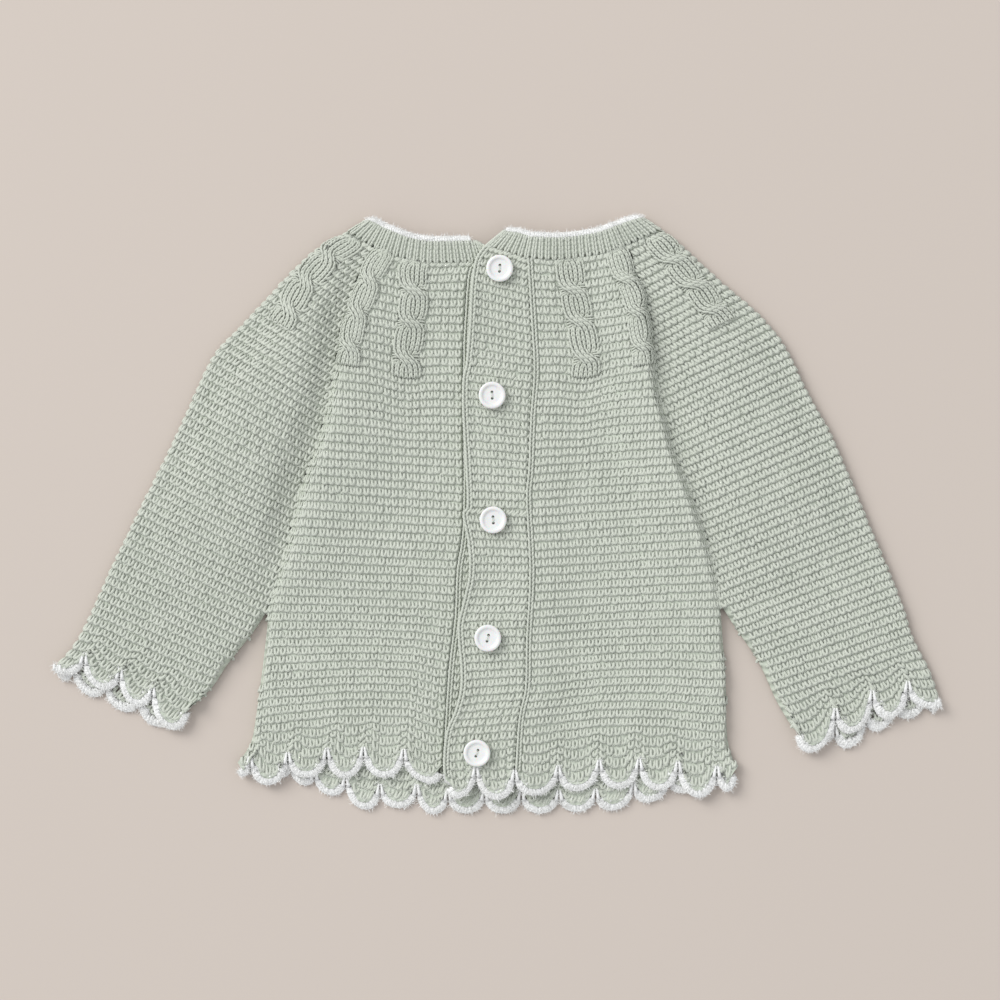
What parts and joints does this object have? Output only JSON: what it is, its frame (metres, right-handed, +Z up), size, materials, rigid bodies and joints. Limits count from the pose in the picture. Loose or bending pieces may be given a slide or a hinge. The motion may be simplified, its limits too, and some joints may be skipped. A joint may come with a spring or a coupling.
{
  "type": "knitted baby cardigan laid flat",
  "caption": "Long-sleeved knitted baby cardigan lying flat and buttoned, with a cabled yoke, ribbed neckband and scalloped white edges on hem, cuffs and neck",
  "frame": {"origin": "on the surface that the garment lies on, under its middle", "axes": "+X across the garment towards the sleeve on the right in the picture, +Y towards the neck, +Z up off the surface"},
  "size_m": [0.4124, 0.2783, 0.0108],
  "materials": {
    "knit": "matt cotton knit",
    "crochet": "matt cotton crochet",
    "button": "pearly gloss"
  },
  "bodies": {
    "root": {"back": "knit", "front_left": "knit", "front_right": "knit", "sleeve_left": "knit", "sleeve_right": "knit", "button_band": "knit", "buttonhole_band": "knit", "neckband": "knit", "neck_edging": "crochet", "hem_edging_back": "crochet", "hem_edging_left": "crochet", "hem_edging_right": "crochet", "cuff_edging_left": "crochet", "cuff_edging_right": "crochet", "button_1": "button", "button_2": "button", "button_3": "button", "button_4": "button", "button_5": "button"}
  },
  "joints": []
}
